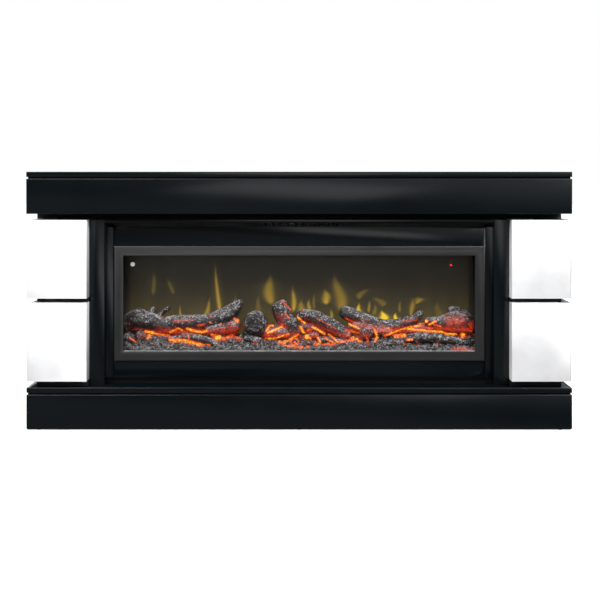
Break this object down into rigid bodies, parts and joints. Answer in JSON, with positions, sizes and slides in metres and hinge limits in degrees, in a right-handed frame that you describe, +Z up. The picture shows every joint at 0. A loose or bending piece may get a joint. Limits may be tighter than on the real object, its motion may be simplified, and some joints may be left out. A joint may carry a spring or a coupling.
{
  "type": "electric fireplace suite",
  "caption": "Free-standing electric fireplace suite: black mantel with stacked white blocks at the sides and a wide glazed fire with logs, flame screen and heater in the middle.",
  "frame": {"origin": "on the floor, in the middle of the footprint of the plinth", "axes": "+Z up, +X to the right of someone facing the fire, -Y to the front, +Y to the wall"},
  "size_m": [1.85, 0.35, 0.875],
  "materials": {
    "black_lacquer": "satin black lacquer on board",
    "groove_black": "matt black lacquer on board",
    "white_gloss": "high-gloss white lacquer on board",
    "raw_board": "dark foil-faced board",
    "nylon": "moulded nylon",
    "hardboard": "dark painted hardboard",
    "zinc_steel": "zinc-plated sheet steel",
    "yellow_zinc": "yellow-zinc-plated steel",
    "case_steel": "black powder coat on sheet steel",
    "trim_coat": "dark grey fine powder coat",
    "clear_glass": "clear float glass",
    "flame_acrylic": "frosted projection screen",
    "mirror_foil": "mirror foil on a steel rod",
    "motor_steel": "plated steel can",
    "lamp_board": "white circuit strip with lamps",
    "ash_resin": "painted resin, ash grey",
    "log_resin": "painted resin, charred wood",
    "blower_plastic": "moulded plastic",
    "circuit_board": "circuit board",
    "control_plastic": "moulded black plastic",
    "amber_button": "moulded plastic",
    "red_button": "moulded plastic",
    "receiver_lens": "pale diffusing plastic",
    "red_lamp": "lit red lamp"
  },
  "bodies": {
    "root": {"top_board": "black_lacquer", "top_spacer": "groove_black", "beam_front": "black_lacquer", "beam_ends": "black_lacquer", "beam_floor": "black_lacquer", "neck_board": "groove_black", "block_upper_left": "white_gloss", "block_upper_right": "white_gloss", "block_lower_left": "white_gloss", "block_lower_right": "white_gloss", "block_spacers": "groove_black", "side_panels": "black_lacquer", "pillar_faces": "groove_black", "partitions": "raw_board", "stiles": "black_lacquer", "top_rail": "black_lacquer", "infill_panel": "black_lacquer", "infill_strips": "black_lacquer", "upper_rail": "groove_black", "lower_rail": "groove_black", "insert_shelf": "raw_board", "hearth_board": "black_lacquer", "hearth_spacer": "groove_black", "plinth_front": "black_lacquer", "plinth_ends": "black_lacquer", "plinth_back": "raw_board", "glides": "nylon", "back_panel": "hardboard", "wall_brackets": "zinc_steel", "wood_screws": "yellow_zinc", "firebox_shell": "case_steel", "rear_cover": "case_steel", "cover_screws": "zinc_steel", "trim_frame": "trim_coat", "front_glass": "clear_glass", "flame_screen": "flame_acrylic", "flame_stencil": "zinc_steel", "rotor_bearings": "zinc_steel", "rotor_motor": "motor_steel", "lamp_strips": "lamp_board", "ember_bed": "ash_resin", "log_left": "log_resin", "log_long": "log_resin", "log_thick": "log_resin", "log_diagonal": "log_resin", "log_branch": "log_resin", "heater_housing": "zinc_steel", "blower_motor": "motor_steel", "heating_element": "zinc_steel", "outlet_grille": "case_steel", "control_board": "circuit_board", "control_plate": "control_plastic", "power_inlet": "control_plastic", "ir_receiver": "receiver_lens", "indicator_lamp": "red_lamp"},
    "flame_rotor": {"flame_rotor": "mirror_foil"},
    "blower_wheel": {"blower_wheel": "blower_plastic"},
    "power_rocker": {"power_rocker": "control_plastic"},
    "flame_button": {"flame_button": "amber_button"},
    "heat_button": {"heat_button": "red_button"}
  },
  "joints": [
    {"name": "rotor_spin", "type": "hinge", "parent": "root", "child": "flame_rotor", "pos_m": [0, 0.0905, 0.2775], "axis": [1, 0, 0], "continuous": true},
    {"name": "blower_spin", "type": "hinge", "parent": "root", "child": "blower_wheel", "pos_m": [0, 0.073, 0.654], "axis": [1, 0, 0], "continuous": true},
    {"name": "rocker_tilt", "type": "hinge", "parent": "root", "child": "power_rocker", "pos_m": [0.406, 0.149, 0.3305], "axis": [1, 0, 0], "range_deg": [0, 16]},
    {"name": "flame_press", "type": "slide", "parent": "root", "child": "flame_button", "axis": [0, -1, 0], "range_m": [0, 0.0015], "stiffness_N_per_m": 400},
    {"name": "heat_press", "type": "slide", "parent": "root", "child": "heat_button", "axis": [0, -1, 0], "range_m": [0, 0.0015], "stiffness_N_per_m": 400}
  ]
}
